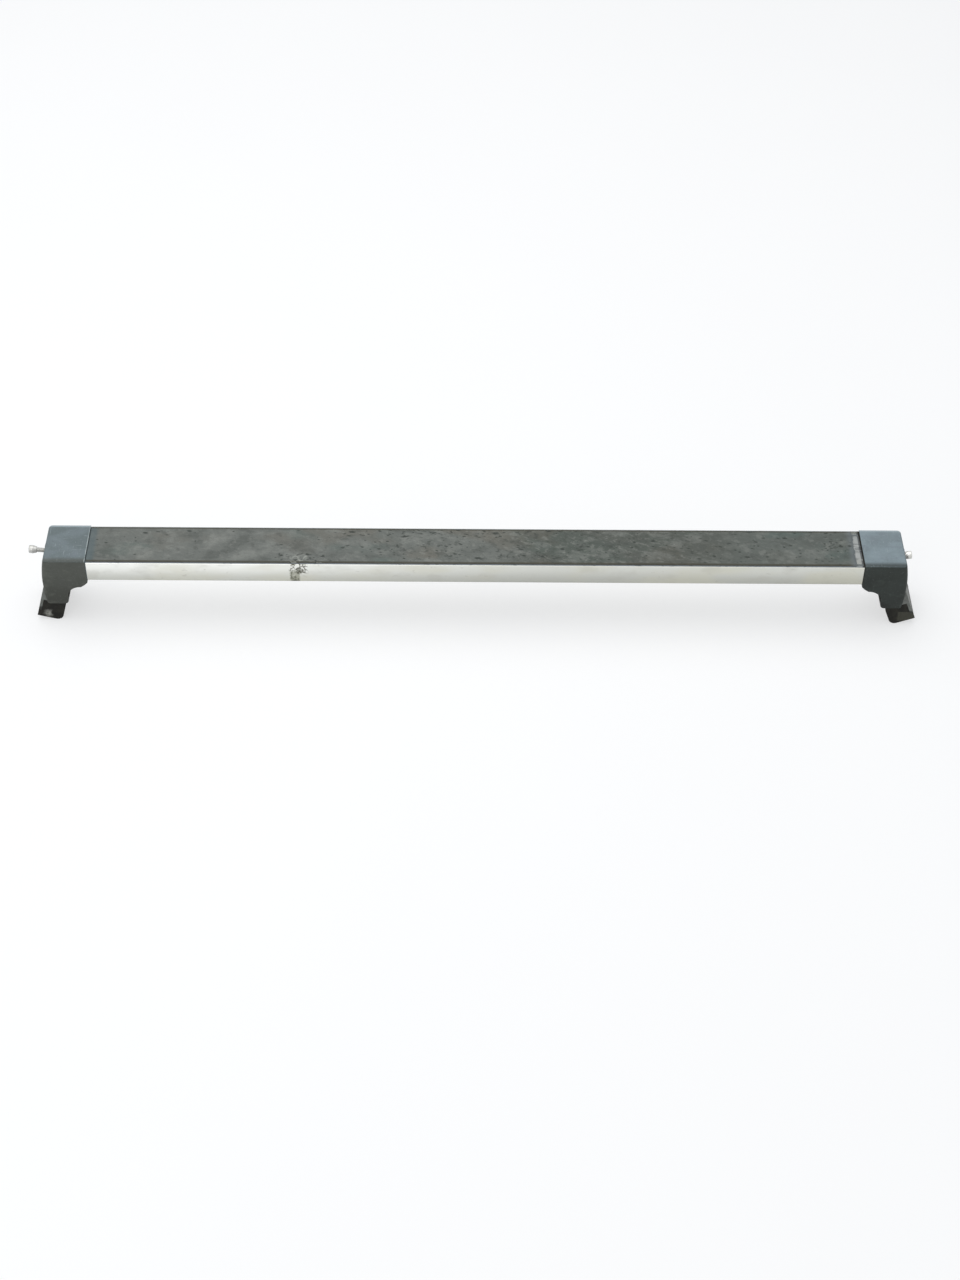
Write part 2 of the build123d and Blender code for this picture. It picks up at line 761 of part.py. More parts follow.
def make_collar(name):
    plane = seat_plane(name)
    nose = seat_gaps[name]
    bore = screw_radius + collar_bore_play
    with BuildPart() as collar:
        with BuildSketch(plane):
            with BuildLine():
                Polyline(
                    (nose, bore),
                    (nose, collar_nose_radius),
                    (nose + collar_length, collar_base_radius),
                    (nose + collar_length, bore),
                    close=True,
                )
            make_face()
        revolve(axis=Axis(plane.origin, plane.x_dir))
    return collar.part


# The screws that hold the spigot in the bar, from below
def make_fixing_screws(side):
    with BuildPart() as screws:
        with BuildSketch(Plane.XY.offset(bar_bottom)):
            with Locations((side * fixing_x, 0)):
                with GridLocations(fixing_spacing, 0, 2, 1):
                    Circle(fixing_head_radius)
        extrude(amount=-fixing_head_height)
        chamfer(screws.edges().group_by(Axis.Z)[0], fixing_head_height / 3)
        with BuildSketch(Plane.XY.offset(bar_bottom)):
            with Locations((side * fixing_x, 0)):
                with GridLocations(fixing_spacing, 0, 2, 1):
                    Circle(fixing_radius)
        extrude(amount=fixing_length)
        with BuildSketch(Plane.XY.offset(bar_bottom - fixing_head_height)):
            with Locations((side * fixing_x, 0)):
                with GridLocations(fixing_spacing, 0, 2, 1):
                    RegularPolygon(fixing_socket / 2, 6, major_radius=False)
        extrude(amount=fixing_socket_depth, mode=Mode.SUBTRACT)
    return screws.part


# The self-tapping screws that hold the housing to the bracket, under the saddle
def make_tapping_screws(side):
    with BuildPart() as screws:
        with BuildSketch(Plane.XY.offset(tapping_z)):
            with Locations((side * tapping_x, 0)):
                with GridLocations(0, tapping_spacing, 1, 2):
                    Circle(tapping_head_radius)
        extrude(amount=tapping_head_height)
        chamfer(screws.edges().group_by(Axis.Z)[0], tapping_head_height / 3)
        with BuildSketch(Plane.XY.offset(tapping_seat_z)):
            with Locations((side * tapping_x, 0)):
                with GridLocations(0, tapping_spacing, 1, 2):
                    Circle(tapping_radius)
        extrude(amount=tapping_length)
    return screws.part


os.makedirs("parts", exist_ok=True)
save(make_bar(), "bar_extrusion")
save(make_tread(), "rubber_tread")
for name, side in sides.items():
    angle = open_angles[name]
    save(make_housing(side), f"{name}_foot_housing")
    save(make_bracket(side), f"{name}_foot_bracket")
    save(make_gasket(side), f"{name}_end_gasket")
    save(make_saddle(side), f"{name}_saddle_pad")
    save(make_arm(side, angle), f"{name}_clamp_arm")
    save(make_pad(side, angle), f"{name}_hook_pad")
    save(make_pin(side), f"{name}_pivot_pin")
    save(make_clip(side), f"{name}_pin_clip")
    save(make_nut(name), f"{name}_barrel_nut")
    save(make_screw(name), f"{name}_clamp_screw")
    save(make_collar(name), f"{name}_screw_collar")
    save(make_fixing_screws(side), f"{name}_bar_screws")
    save(make_tapping_screws(side), f"{name}_housing_screws")
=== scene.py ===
import bmesh
import bpy
import json
import random
from math import cos, exp, pi, radians, sin
from mathutils import Matrix, Vector, noise


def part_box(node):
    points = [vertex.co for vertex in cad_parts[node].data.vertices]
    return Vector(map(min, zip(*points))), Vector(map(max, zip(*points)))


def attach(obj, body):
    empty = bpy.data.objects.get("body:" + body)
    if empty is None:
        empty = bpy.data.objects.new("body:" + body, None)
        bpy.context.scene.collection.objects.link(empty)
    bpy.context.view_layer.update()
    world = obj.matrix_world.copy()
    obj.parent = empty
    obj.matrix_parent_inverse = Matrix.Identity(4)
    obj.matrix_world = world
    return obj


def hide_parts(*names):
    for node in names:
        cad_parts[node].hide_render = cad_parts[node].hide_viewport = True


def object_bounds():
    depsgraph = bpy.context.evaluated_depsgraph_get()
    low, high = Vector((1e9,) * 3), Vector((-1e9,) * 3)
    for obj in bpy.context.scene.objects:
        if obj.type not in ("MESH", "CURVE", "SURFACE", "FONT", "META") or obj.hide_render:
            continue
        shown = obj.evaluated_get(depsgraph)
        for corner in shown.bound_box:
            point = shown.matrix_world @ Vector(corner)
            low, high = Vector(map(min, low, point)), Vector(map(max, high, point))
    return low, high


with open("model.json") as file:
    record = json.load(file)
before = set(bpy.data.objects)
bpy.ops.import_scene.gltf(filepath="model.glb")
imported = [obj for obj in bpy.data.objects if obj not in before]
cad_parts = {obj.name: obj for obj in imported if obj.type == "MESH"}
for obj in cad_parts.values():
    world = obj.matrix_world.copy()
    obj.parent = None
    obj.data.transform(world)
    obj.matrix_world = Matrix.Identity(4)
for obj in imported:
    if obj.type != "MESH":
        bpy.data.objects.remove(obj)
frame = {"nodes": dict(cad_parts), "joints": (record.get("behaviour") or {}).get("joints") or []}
cad_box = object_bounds()

# The bar: a hollow extrusion of silver anodised aluminium, sawn off square at both ends.
# Its front face has a scuff where something was dragged over it, and fine handling marks.
# The classes below build every material: Shade is one value, Finish is one material.
class Shade:
    """One socket of a material, on which arithmetic adds Math nodes."""

    def __init__(self, finish, socket):
        self.finish = finish
        self.socket = socket

    def math(self, operation, *values):
        sockets = dict(enumerate(values))
        return self.finish.node("ShaderNodeMath", {"operation": operation}, sockets)

    def __add__(self, other):
        return self.math("ADD", self, other)

    def __radd__(self, other):
        return self.math("ADD", other, self)

    def __sub__(self, other):
        return self.math("SUBTRACT", self, other)

    def __rsub__(self, other):
        return self.math("SUBTRACT", other, self)

    def __mul__(self, other):
        return self.math("MULTIPLY", self, other)

    def __rmul__(self, other):
        return self.math("MULTIPLY", other, self)

    def __abs__(self):
        return self.math("ABSOLUTE", self)

    def rise(self, low, high):
        """0 below low, 1 above high and smooth between; low may be the larger."""
        settings = {"interpolation_type": "SMOOTHSTEP"}
        values = {"Value": self, "From Min": low, "From Max": high}
        return self.finish.node("ShaderNodeMapRange", settings, values)

    def hump(self, middle, half, soft):
        """1 within half of the middle, falling to 0 over the soft width."""
        return abs(self - middle).rise(half + soft, half)


class Finish:
    """One material: its nodes, and the Principled shader that they feed."""

    def __init__(self, name, **constants):
        self.material = bpy.data.materials.new(name)
        self.material.use_nodes = True
        self.tree = self.material.node_tree
        self.shader = self.tree.nodes["Principled BSDF"]
        for socket, value in constants.items():
            self.shader.inputs[socket.replace("_", " ")].default_value = value
        self.place = self.node("ShaderNodeTexCoord", output="Object")
        self.x = self.node("ShaderNodeSeparateXYZ", values={0: self.place}, output="X")
        self.y = self.node("ShaderNodeSeparateXYZ", values={0: self.place}, output="Y")
        self.z = self.node("ShaderNodeSeparateXYZ", values={0: self.place}, output="Z")

    def node(self, kind, settings=None, values=None, output=0):
        node = self.tree.nodes.new(kind)
        for name, value in (settings or {}).items():
            setattr(node, name, value)
        for socket, value in (values or {}).items():
            self.feed(node.inputs[socket], value)
        return Shade(self, node.outputs[output])

    def feed(self, socket, value):
        if isinstance(value, Shade):
            self.tree.links.new(value.socket, socket)
        else:
            socket.default_value = value

    def grain(self, size, detail=2.0, stretch=(1, 1, 1), shift=(0, 0, 0), rough=0.5, slant=0.0):
        """Noise from 0 to 1 with lumps of about the size in metres, longer along stretch."""
        scale = [1 / part for part in stretch]
        turned = self.node(
            "ShaderNodeMapping", values={"Vector": self.place, "Rotation": (0, 0, slant)}
        )
        place = self.node(
            "ShaderNodeMapping", values={"Vector": turned, "Scale": scale, "Location": shift}
        )
        values = {"Vector": place, "Scale": 0.5 / size, "Detail": detail, "Roughness": rough}
        return self.node("ShaderNodeTexNoise", values=values)

    def facing(self, axis):
        """The surface normal's part along one axis of the rack itself."""
        normal = self.node("ShaderNodeTexCoord", output="Normal")
        return self.node("ShaderNodeSeparateXYZ", values={0: normal}, output=axis)

    def mix(self, share, first, second):
        """A colour that goes from the first to the second as the share goes from 0 to 1."""
        return self.node("ShaderNodeMix", {"data_type": "RGBA"}, {0: share, 6: first, 7: second}, 2)

    def bump(self, height, depth, below=None):
        """A normal from a height of 0 to 1 that is depth metres deep, over another normal."""
        values = {"Height": height, "Distance": depth}
        if below is not None:
            values["Normal"] = below
        return self.node("ShaderNodeBump", values=values, output="Normal")

    def wear(self, **channels):
        """Feeds the shader's varying channels and hands over the material."""
        for socket, value in channels.items():
            self.feed(self.shader.inputs[socket.replace("_", " ")], value)
        return self.material


def tone(red, green, blue):
    """A colour as on screen, 0 to 255, made linear for the shader."""
    parts = [part / 255 for part in (red, green, blue)]
    return [((p + 0.055) / 1.055) ** 2.4 if p > 0.04 else p / 12.92 for p in parts] + [1]


nodes = frame["nodes"]


def dress(node, material):
    """Gives a node of the CAD model its material."""
    mesh = nodes[node].data
    mesh.materials.clear()
    mesh.materials.append(material)


def anodised():
    """Painted highlight along its upper front edge and painted shade darker downwards; duller to
    the right.
    """
    finish = Finish("silver_anodised", Metallic=0.8, Specular_IOR_Level=0.5)
    drawn = finish.grain(0.0006, 2, (260, 1, 1))
    cloud = finish.grain(0.022, 3, (2.5, 1, 1))
    stain = finish.grain(0.012, 3, (1.6, 1, 1), (3, 1, 0)).rise(0.52, 0.68)
    specks = finish.grain(0.0018, 3, (2.5, 1, 1)).rise(0.66, 0.74)
    # painted shade: the front face goes darker downwards from its upper edge
    low = finish.z.rise(-0.003, -0.029)
    far = finish.x.rise(-0.37, 0.14)
    # painted highlight along the rounded upper front edge
    painted_rim_highlight = finish.z.rise(-0.0040, -0.0025)
    # a light top tone and a dark bottom tone are painted shade, also in the duller copy for the
    # right
    base = finish.mix(low, tone(249, 250, 245), tone(198, 199, 192))
    base = finish.mix(far * 0.75, base, finish.mix(low, tone(199, 200, 193), tone(173, 174, 167)))
    base = finish.mix(cloud.rise(0.42, 0.62) * 0.36, base, tone(203, 200, 178))
    base = finish.mix(stain * 0.22, base, tone(172, 170, 160))
    base = finish.mix(specks * 0.22, base, tone(150, 148, 138))
    # the painted highlight laid on the upper front edge, fainter to the right
    base = finish.mix(painted_rim_highlight * (0.3 - far * 0.2), base, tone(240, 241, 236))

    # the floor under the tread, bare beside the right foot: scored and with old gum, with painted
    # shade in the seam at the foot
    bed = finish.facing("Z").rise(0.6, 0.9) * finish.z.rise(-0.0036, -0.0026)
    scored = finish.grain(0.0013, 3, (5, 1, 1), (5, 2, 0), 0.6).rise(0.50, 0.57)
    scored = scored * finish.y.hump(0.004, 0.005, 0.007)
    gum = finish.grain(0.0022, 3, (1.6, 1, 1), (5, 2, 0), 0.65).rise(0.56, 0.66)
    # painted shade in the seam next to the right foot, near black in patches
    painted_seam_shade = bed * finish.x.rise(0.4822, 0.4836) * finish.grain(0.004, 2).rise(0.15, 0.4)
    torn = bed * finish.x.rise(0.4790, 0.4760) * gum.rise(0.0, 0.6)
    base = finish.mix(bed * 0.95, base, tone(100, 107, 113))
    base = finish.mix(bed * finish.y.rise(0.012, 0.030) * 0.7, base, tone(124, 132, 134))
    base = finish.mix(bed * (gum * 0.4 + scored * 0.85), base, tone(64, 70, 74))
    base = finish.mix(torn * 0.6, base, tone(84, 90, 90))
    # the painted shade in the seam by the right foot
    base = finish.mix(painted_seam_shade, base, tone(26, 31, 40))

    # the scuff on the front face: thin curls above a dull smear
    blot = finish.grain(0.0024, 3, (1, 1, 1), (2, 4, 1), 0.6)
    drift = (blot - 0.5) * 0.007
    front = finish.facing("Y").rise(-0.2, -0.6)
    near = (finish.x + drift).hump(-0.2205, 0.0095, 0.003) * front
    loops = finish.grain(0.0048, 1, shift=(0, 4, 0)).hump(0.5, 0.024, 0.036)
    hairs = finish.grain(0.0034, 1, shift=(6, 1, 2)).hump(0.5, 0.018, 0.028)
    curl = (loops * 0.8 + hairs * 0.6) * near * (finish.z - drift).rise(-0.0185, -0.0145)
    smear = (finish.x + drift).hump(-0.2252, 0.0042, 0.0026) * front
    smear = smear * (finish.z + drift).rise(-0.0085, -0.0165) * blot.rise(0.20, 0.44)
    base = finish.mix(smear * 0.75, base, tone(166, 167, 152))
    base = finish.mix(smear * blot.rise(0.49, 0.56) * 0.8, base, tone(118, 120, 106))
    base = finish.mix(smear * finish.z.rise(-0.022, -0.030) * 0.5, base, tone(104, 104, 92))
    base = finish.mix(curl * 0.9, base, tone(98, 98, 86))
    rough = 0.40 + drawn * 0.1 + smear * 0.3 + bed * 0.25
    grooved = finish.bump(drawn, 0.00002)
    marked = finish.bump(1 - curl, 0.00020, grooved)
    return finish.wear(Base_Color=base, Roughness=rough, Normal=marked)


dress("bar_extrusion", anodised())


# The tread: an extruded rubber strip whose two keys are pressed into the bar's grooves.
# Weather has left it blotchy and pitted. At the right its top is torn off short of the foot,
# while the keys stay in their grooves. The top is a fine grid, swept from end to end.
tread_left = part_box("rubber_tread")[0][0]
tread_right = 0.4760
tread_half = 0.0325
tread_depth = 0.003
tread_corner = 0.0009
key_middle = 0.028
bar_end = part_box("bar_extrusion")[1][0]


def step_between(value, low, high):
    """0 below low, 1 above high and smooth between."""
    share = min(1, max(0, (value - low) / (high - low)))
    return share * share * (3 - 2 * share)


def strip_section():
    """The loop round the strip as (y, z, is it top): up the front side, over, and back below."""
    rows = 60
    inner = tread_half - tread_corner
    shoulder = -0.002
    loop = [(-tread_half, -tread_depth, False), (-tread_half, shoulder, False)]
    for step in range(4):
        angle = pi - step * pi / 8
        y = -tread_half + tread_corner * (1 + cos(angle))
        loop.append((y, tread_corner * (sin(angle) - 1), True))
    loop += [(-inner + 2 * inner * row / rows, 0, True) for row in range(rows + 1)]
    return loop + [(-y, z, top) for y, z, top in loop[5::-1]]


def key_section(side):
    """The loop round one key, a stem with a wider foot, from just inside the strip down."""
    stem, foot, root, ledge, toe = 0.0013, 0.0023, -0.0029, -0.0047, -0.0063
    right_half = [(stem, root), (stem, ledge), (foot, ledge), (foot, toe)]
    left_half = [(-y, z) for y, z in reversed(right_half)]
    return [(side * key_middle + side * y, z) for y, z in right_half + left_half]


def pick_pits():
    """Pits as (x, y, half length, half width, depth, slant): the large ones, then seeded ones."""
    dice = random.Random(11)
    large = (
        (-0.416, 0.022), (-0.361, 0.026), (-0.243, -0.019), (-0.210, -0.017), (-0.156, 0.026),
        (-0.121, 0.028), (-0.121, -0.006), (-0.089, 0.018), (-0.022, 0.031), (0.003, -0.022),
        (0.011, 0.029), (0.025, 0.025), (0.057, -0.005), (0.092, 0.030), (0.109, -0.004),
        (0.224, 0.012), (0.299, -0.016), (0.340, -0.017), (0.390, 0.019), (0.424, 0.031),
        (0.347, 0.031), (0.460, 0.004), (0.471, 0.005),
    )
    pits = []
    for x, y in large:
        long, wide = dice.uniform(0.0034, 0.0058), dice.uniform(0.0017, 0.0026)
        pits.append((x, y, long, wide, dice.uniform(0.0006, 0.0009), dice.uniform(-0.4, 0.1)))
    for low_x, high_x, low_y, high_y, count in (
        (-0.480, -0.260, -0.031, 0.031, 16),
        (-0.260, 0.470, -0.031, 0.031, 105),
        (-0.170, 0.160, 0.016, 0.031, 60),
        (-0.150, 0.180, -0.024, 0.010, 70),
        (-0.250, -0.180, -0.030, -0.016, 26),
        (0.030, 0.110, -0.024, -0.014, 20),
        (0.438, 0.474, -0.006, 0.018, 24),
        (0.190, 0.460, -0.030, 0.030, 60),
    ):
        for _ in range(count):
            x, y = dice.uniform(low_x, high_x), dice.uniform(low_y, high_y)
            long, wide = dice.uniform(0.0013, 0.0042), dice.uniform(0.0008, 0.0017)
            pits.append((x, y, long, wide, dice.uniform(0.0002, 0.0007), dice.uniform(-0.5, 0.2)))
    return pits


def sink_top(x, y, pits):
    """How far the worn top lies below the new one at a place, and how dark its pits are there."""
    place = Vector((x, y, 0))
    sink = 0.0002 + 0.00008 * noise.noise(place * 38) + 0.00010 * noise.noise(place * 260)
    sink += 0.00007 * noise.noise(place * 610)
    deepest = 0.0012
    dark = 0.0
    ragged = 1 + 0.5 * noise.noise(place * 700)
    for pit_x, pit_y, long, wide, deep, slant in pits:
        along, across = x - pit_x, y - pit_y
        u = (along + slant * across) / long
        v = (across - slant * along) / wide * ragged
        hollow = exp(-1.6 * (u * u + v * v))
        sink += deep * hollow
        dark = max(dark, hollow * (0.5 + 600 * deep))
    return min(deepest, max(0, sink)), min(1, dark)


def make_tread():
    """The strip with its worn top and torn end, and the two keys, as one mesh."""
    loop = strip_section()
    size = len(loop)
    columns = 960
    torn_length = 0.010
    feather_length = 0.003
    feather_depth = 0.0011
    least_thickness = 0.0002
    nicked_beyond = 0.031
    key_end = bar_end - 0.0002
    length = tread_right - tread_left
    pits = [[] for _ in range(columns + 1)]
    for pit in pick_pits():
        first = int((pit[0] - 2 * pit[2] - tread_left) / length * columns)
        last = int((pit[0] + 2 * pit[2] - tread_left) / length * columns) + 1
        for column in range(max(0, first), min(columns, last) + 1):
            pits[column].append(pit)
    points, marks = [], []
    for column in range(columns + 1):
        even_x = tread_left + length * column / columns
        near_tear = step_between(even_x, tread_right - torn_length, tread_right)
        feather = step_between(even_x, tread_right - feather_length, tread_right)
        for y, z, top in loop:
            tear = noise.noise(Vector((3, y * 130, 0))) * 0.0022
            tear += noise.noise(Vector((8, y * 520, 0))) * 0.0009
            x = even_x + near_tear * min(0.0014, tear)
            dark = 0
            if top:
                sink, dark = sink_top(x, y, pits[column])
                z -= sink + feather_depth * feather
                if abs(y) > nicked_beyond:
                    nick = max(0, noise.noise(Vector((x * 45, y * 9, 5))))
                    nick += max(0, noise.noise(Vector((x * 170, y * 9, 2))) - 0.2)
                    y *= 1 - (0.020 if y > 0 else 0.009) * min(1, nick)
            points.append((x, y, max(z, -tread_depth + least_thickness) if top else z))
            marks.append(dark)
    ends = [range(size), range(columns * size + size - 1, columns * size - 1, -1)]
    faces = [tuple(end) for end in ends]
    for near in range(0, columns * size, size):
        for k in range(size):
            after = (k + 1) % size
            faces.append((near + k, near + size + k, near + size + after, near + after))
    for side in (-1, 1):
        start = len(points)
        section = key_section(side)
        count = len(section)
        points += [(x, y, z) for x in (tread_left, key_end) for y, z in section]
        marks += [0] * 2 * count
        faces.append(tuple(range(start + count - 1, start - 1, -1)))
        faces.append(tuple(range(start + count, start + 2 * count)))
        for k in range(count):
            after = (k + 1) % count
            faces.append((start + k, start + after, start + count + after, start + count + k))
    mesh = bpy.data.meshes.new("tread")
    mesh.from_pydata(points, [], faces)
    mesh.attributes.new("pit", "FLOAT", "POINT").data.foreach_set("value", marks)
    fill_out(mesh)
    mesh.set_sharp_from_angle(angle=radians(50))
    tread = bpy.data.objects.new("weathered_tread", mesh)
    bpy.context.collection.objects.link(tread)
    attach(tread, "crossbar")
    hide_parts("rubber_tread")
    return tread


def fill_out(mesh):
    """Turns every face outwards and shades it smooth."""
    solid = bmesh.new()
    solid.from_mesh(mesh)
    bmesh.ops.recalc_face_normals(solid, faces=solid.faces)
    solid.to_mesh(mesh)
    solid.free()
    mesh.shade_smooth()


def weathered_rubber():
    """Grey rubber in soft blotches, greener to the right, with darker rims and pits."""
    finish = Finish("weathered_rubber", Specular_IOR_Level=0.3)
    pit = finish.node("ShaderNodeAttribute", {"attribute_name": "pit"}, output="Fac")
    green = finish.grain(0.034, 2, (1.8, 1, 1), (9, 2, 0)).rise(0.50, 0.64)
    brown = finish.grain(0.028, 2, (1.6, 1, 1), (1, 7, 0)).rise(0.50, 0.64)
    patch = finish.grain(0.014, 3, (1.4, 1, 1), (3, 0, 0), 0.55)
    smudge = finish.grain(0.0066, 3, (1.3, 1, 1), (2, 5, 0), 0.6, 0.35)
    streak = finish.grain(0.0030, 3, (1.9, 1, 1), (7, 1, 0), 0.65, 0.35)
    flake = finish.grain(0.0015, 3, (1.8, 1, 1), (1, 9, 0), 0.7)
    crumb = finish.grain(0.0007, 3, rough=0.7)
    calm = finish.grain(0.045, 2, shift=(4, 3, 0)).rise(0.38, 0.60)
    rough_part = finish.x.hump(0.08, 0.10, 0.14) * (0.4 + 0.6 * calm)
    dull_part = finish.x.hump(0.19, 0.08, 0.10)
    left = finish.x.rise(-0.05, -0.25)
    right = finish.x.rise(0.20, 0.36)
    base = finish.mix(green, tone(104, 107, 102), tone(92, 103, 97))
    base = finish.mix(brown * 0.8, base, tone(108, 105, 96))
    base = finish.mix(left * 0.4, base, tone(108, 110, 106))
    base = finish.mix(right * 0.75, base, finish.mix(green, tone(92, 97, 92), tone(83, 95, 90)))
    base = finish.mix(dull_part * 0.65, base, tone(76, 78, 71))
    base = finish.mix(patch.rise(0.50, 0.66) * (0.4 + left * 0.25), base, tone(130, 132, 126))
    base = finish.mix(patch.rise(0.48, 0.34) * (0.4 + left * 0.15), base, tone(78, 81, 77))
    base = finish.mix(smudge.rise(0.54, 0.68) * 0.34, base, tone(136, 137, 131))
    base = finish.mix(smudge.rise(0.45, 0.32) * 0.42, base, tone(72, 74, 70))
    light_streak = streak.rise(0.54, 0.66) * (0.12 + 0.3 * rough_part)
    base = finish.mix(light_streak, base, tone(140, 141, 134))
    dark_streak = streak.rise(0.45, 0.34) * (0.14 + 0.5 * rough_part)
    base = finish.mix(dark_streak, base, tone(60, 64, 59))
    base = finish.mix(flake.rise(0.60, 0.68) * 0.4, base, tone(72, 75, 71))
    base = finish.mix(flake.rise(0.38, 0.30) * 0.3, base, tone(148, 149, 144))
    base = finish.mix(crumb.rise(0.42, 0.62) * 0.2, base, tone(80, 83, 79))
    fresh = finish.x.rise(-0.4730, -0.4800) * 0.65
    base = finish.mix(fresh, base, tone(84, 97, 100))
    rims = abs(finish.y).rise(0.0290, 0.0304)
    base = finish.mix(rims * 0.8, base, tone(68, 65, 54))
    base = finish.mix(pit.rise(0.15, 0.70) * 0.85, base, tone(54, 58, 54))
    scraped = finish.x.hump(-0.209, 0.020, 0.010) * finish.y.rise(-0.019, -0.024)
    spots = finish.grain(0.0020, 2, (1.4, 1, 1), (8, 8, 0)).rise(0.60, 0.66)
    lines = finish.grain(0.0011, 2, (5, 1, 1), (5, 8, 0), slant=0.2).rise(0.60, 0.66)
    swirl = finish.grain(0.0048, 1, shift=(0, 4, 0)).hump(0.5, 0.020, 0.034)
    swirl = swirl * finish.x.hump(-0.2205, 0.009, 0.003) * finish.y.rise(-0.017, -0.021)
    base = finish.mix(scraped * lines * 0.4, base, tone(168, 168, 159))
    base = finish.mix(swirl * 0.6, base, tone(158, 160, 152))
    base = finish.mix(scraped * spots * 0.75, base, tone(56, 58, 53))
    dusty = finish.x.rise(0.4650, 0.4760) * (1 - pit)
    base = finish.mix(dusty * 0.6, base, tone(116, 122, 125))
    rough = 0.80 + crumb * 0.12 - smudge * 0.05
    fine = finish.bump(crumb, 0.00020)
    normal = finish.bump(streak * 0.5 + flake * 0.5, 0.00030, fine)
    return finish.wear(Base_Color=base, Roughness=rough, Normal=normal)


make_tread().data.materials.append(weathered_rubber())


# The foot housings: one injection moulding each, of dark grey glass-filled nylon.
# Their tops are lighter and blue grey as painted sky light and sheen, with specks of dust, and the
# right one has darker sides than the left one.
# Each slides over the bracket and is held by two tapping screws from below.
def nylon_with_painted_top_light():
    """Painted sky light and sheen on what faces up, a painted highlight on the back edge, and dark
    grey on the sides, darker towards the bottom.
    """
    finish = Finish("nylon_with_painted_top_light", Specular_IOR_Level=0.3)
    # up: what faces up, which gets the painted sky light and sheen
    up = finish.facing("Z").rise(0.20, 0.97)
    # painted highlight along the rounded back edge of the top
    back = finish.y.rise(0.0295, 0.0318) * finish.facing("Z").rise(0.15, 0.4)
    # the top's front edge keeps the side colour, without the painted top light
    brow = finish.y.rise(-0.0250, -0.0330) * up
    right = finish.x.rise(-0.1, 0.1)
    low = finish.z.rise(-0.020, -0.068)
    cloud = finish.grain(0.014, 3, (1.4, 1, 1), rough=0.5)
    patch = finish.grain(0.006, 3, (1.5, 1, 1), (4, 0, 2), 0.6)
    speck = finish.grain(0.0011, 3, rough=0.7)
    scratch = finish.grain(0.0009, 3, (1, 9, 1), (0, 3, 1), 0.6).rise(0.64, 0.70)
    scrape = finish.grain(0.0008, 3, (10, 1, 1), (6, 3, 1), 0.6).rise(0.66, 0.72)
    side = finish.mix(right, tone(77, 79, 73), tone(38, 43, 39))
    side = finish.mix(low, side, finish.mix(right, tone(57, 58, 52), tone(27, 30, 27)))
    hazy = finish.mix(right, tone(64, 66, 60), tone(48, 54, 50))
    side = finish.mix(cloud.rise(0.40, 0.62) * 0.55, side, hazy)
    pale_side = finish.mix(right, tone(92, 94, 86), tone(56, 63, 58))
    side = finish.mix(patch.rise(0.48, 0.68) * 0.4, side, pale_side)
    # the lighter, blue grey top tones are painted sky light and sheen, in cloudy patches
    top = finish.mix(right, tone(96, 106, 107), tone(119, 131, 135))
    pale = finish.mix(right, tone(108, 118, 121), tone(129, 142, 147))
    top = finish.mix(cloud.rise(0.38, 0.64), top, pale)
    top = finish.mix(patch.rise(0.50, 0.70) * 0.35, top, tone(108, 115, 122))
    # the painted sky light and sheen laid on what faces up
    base = finish.mix(up, side, top)
    base = finish.mix(brow * 0.8, base, side)
    # the painted highlight on the back edge
    base = finish.mix(back * 0.75, base, tone(160, 172, 175))
    base = finish.mix(speck.rise(0.58, 0.72) * (0.08 + up * 0.15), base, tone(160, 166, 166))
    base = finish.mix(speck.rise(0.42, 0.30) * 0.25, base, tone(50, 54, 52))
    base = finish.mix((scratch + scrape) * (0.10 + up * 0.25), base, tone(165, 172, 174))
    # a pale line in patches along the left foot's inner top edge
    worn = finish.x.hump(-0.4862, 0.0004, 0.0007) * up * patch.rise(0.36, 0.52)
    base = finish.mix(worn * 0.8, base, tone(168, 176, 176))
    rough = 0.60 + speck * 0.12 - scratch * 0.1
    mould = finish.grain(0.00045, 2, rough=0.5)
    fine = finish.bump(mould, 0.00006)
    normal = finish.bump(cloud, 0.00030, fine)
    return finish.wear(Base_Color=base, Roughness=rough, Normal=normal)


def soften(node, width):
    """Rounds a piece's sharp edges a little, once its split corners are joined again."""
    weld = nodes[node].modifiers.new("joined", "WELD")
    weld.merge_threshold = 0.00001
    bevel = nodes[node].modifiers.new("soft_edges", "BEVEL")
    bevel.width = width
    bevel.segments = 2
    bevel.limit_method = "ANGLE"
    bevel.angle_limit = radians(40)
    bevel.use_clamp_overlap = True
    bevel.harden_normals = True


nylon = nylon_with_painted_top_light()
for side in ("left", "right"):
    dress(f"{side}_foot_housing", nylon)
    soften(f"{side}_foot_housing", 0.0005)


